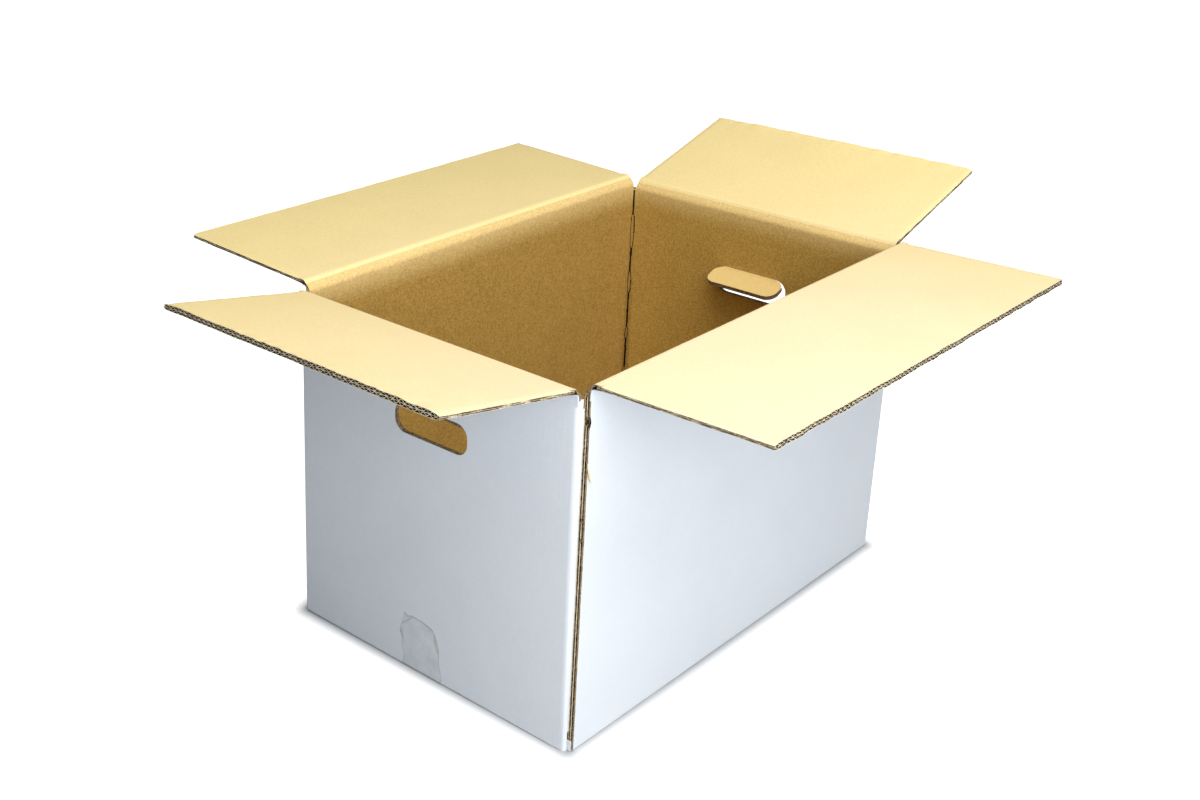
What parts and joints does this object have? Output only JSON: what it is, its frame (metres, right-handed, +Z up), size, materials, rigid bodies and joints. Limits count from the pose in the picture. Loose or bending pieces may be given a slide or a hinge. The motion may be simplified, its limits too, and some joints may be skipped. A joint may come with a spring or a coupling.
{
  "type": "open moving box",
  "caption": "Open corrugated moving box, white outside and brown inside, with folding top flaps, a taped base and push-in hand holes.",
  "frame": {"origin": "middle of the base's underside, where the two diagonals of the closed box cross", "axes": "+X along the long sides, +Y along the short sides away from the side with the maker's joint, +Z up"},
  "size_m": [1.008, 0.7988, 0.4664],
  "materials": {
    "white_board": "matte",
    "kraft_board": "matte",
    "clear_tape": "satin"
  },
  "bodies": {
    "box": {"box_body": "white_board", "base_tape": "clear_tape"},
    "front_flap": {"front_flap": "kraft_board"},
    "back_flap": {"back_flap": "kraft_board"},
    "left_flap": {"left_flap": "kraft_board"},
    "right_flap": {"right_flap": "kraft_board"},
    "left_hand_tab": {"left_hand_tab": "kraft_board"},
    "right_hand_tab": {"right_hand_tab": "kraft_board"}
  },
  "joints": [
    {"name": "front_flap_fold", "type": "hinge", "parent": "box", "child": "front_flap", "pos_m": [0, -0.2, 0.412], "axis": [-1, 0, 0], "range_deg": [-81, 179]},
    {"name": "back_flap_fold", "type": "hinge", "parent": "box", "child": "back_flap", "pos_m": [0, 0.2, 0.412], "axis": [1, 0, 0], "range_deg": [-82.5, 177.5]},
    {"name": "left_flap_fold", "type": "hinge", "parent": "box", "child": "left_flap", "pos_m": [-0.31, 0, 0.4056], "axis": [0, 1, 0], "range_deg": [-90.5, 169.5]},
    {"name": "right_flap_fold", "type": "hinge", "parent": "box", "child": "right_flap", "pos_m": [0.31, 0, 0.4056], "axis": [0, -1, 0], "range_deg": [-96, 164]},
    {"name": "left_hand_tab_fold", "type": "hinge", "parent": "box", "child": "left_hand_tab", "pos_m": [-0.304, 0, 0.325], "axis": [0, -1, 0], "range_deg": [-70, 80]},
    {"name": "right_hand_tab_fold", "type": "hinge", "parent": "box", "child": "right_hand_tab", "pos_m": [0.304, 0, 0.325], "axis": [0, 1, 0], "range_deg": [-70, 80]}
  ]
}
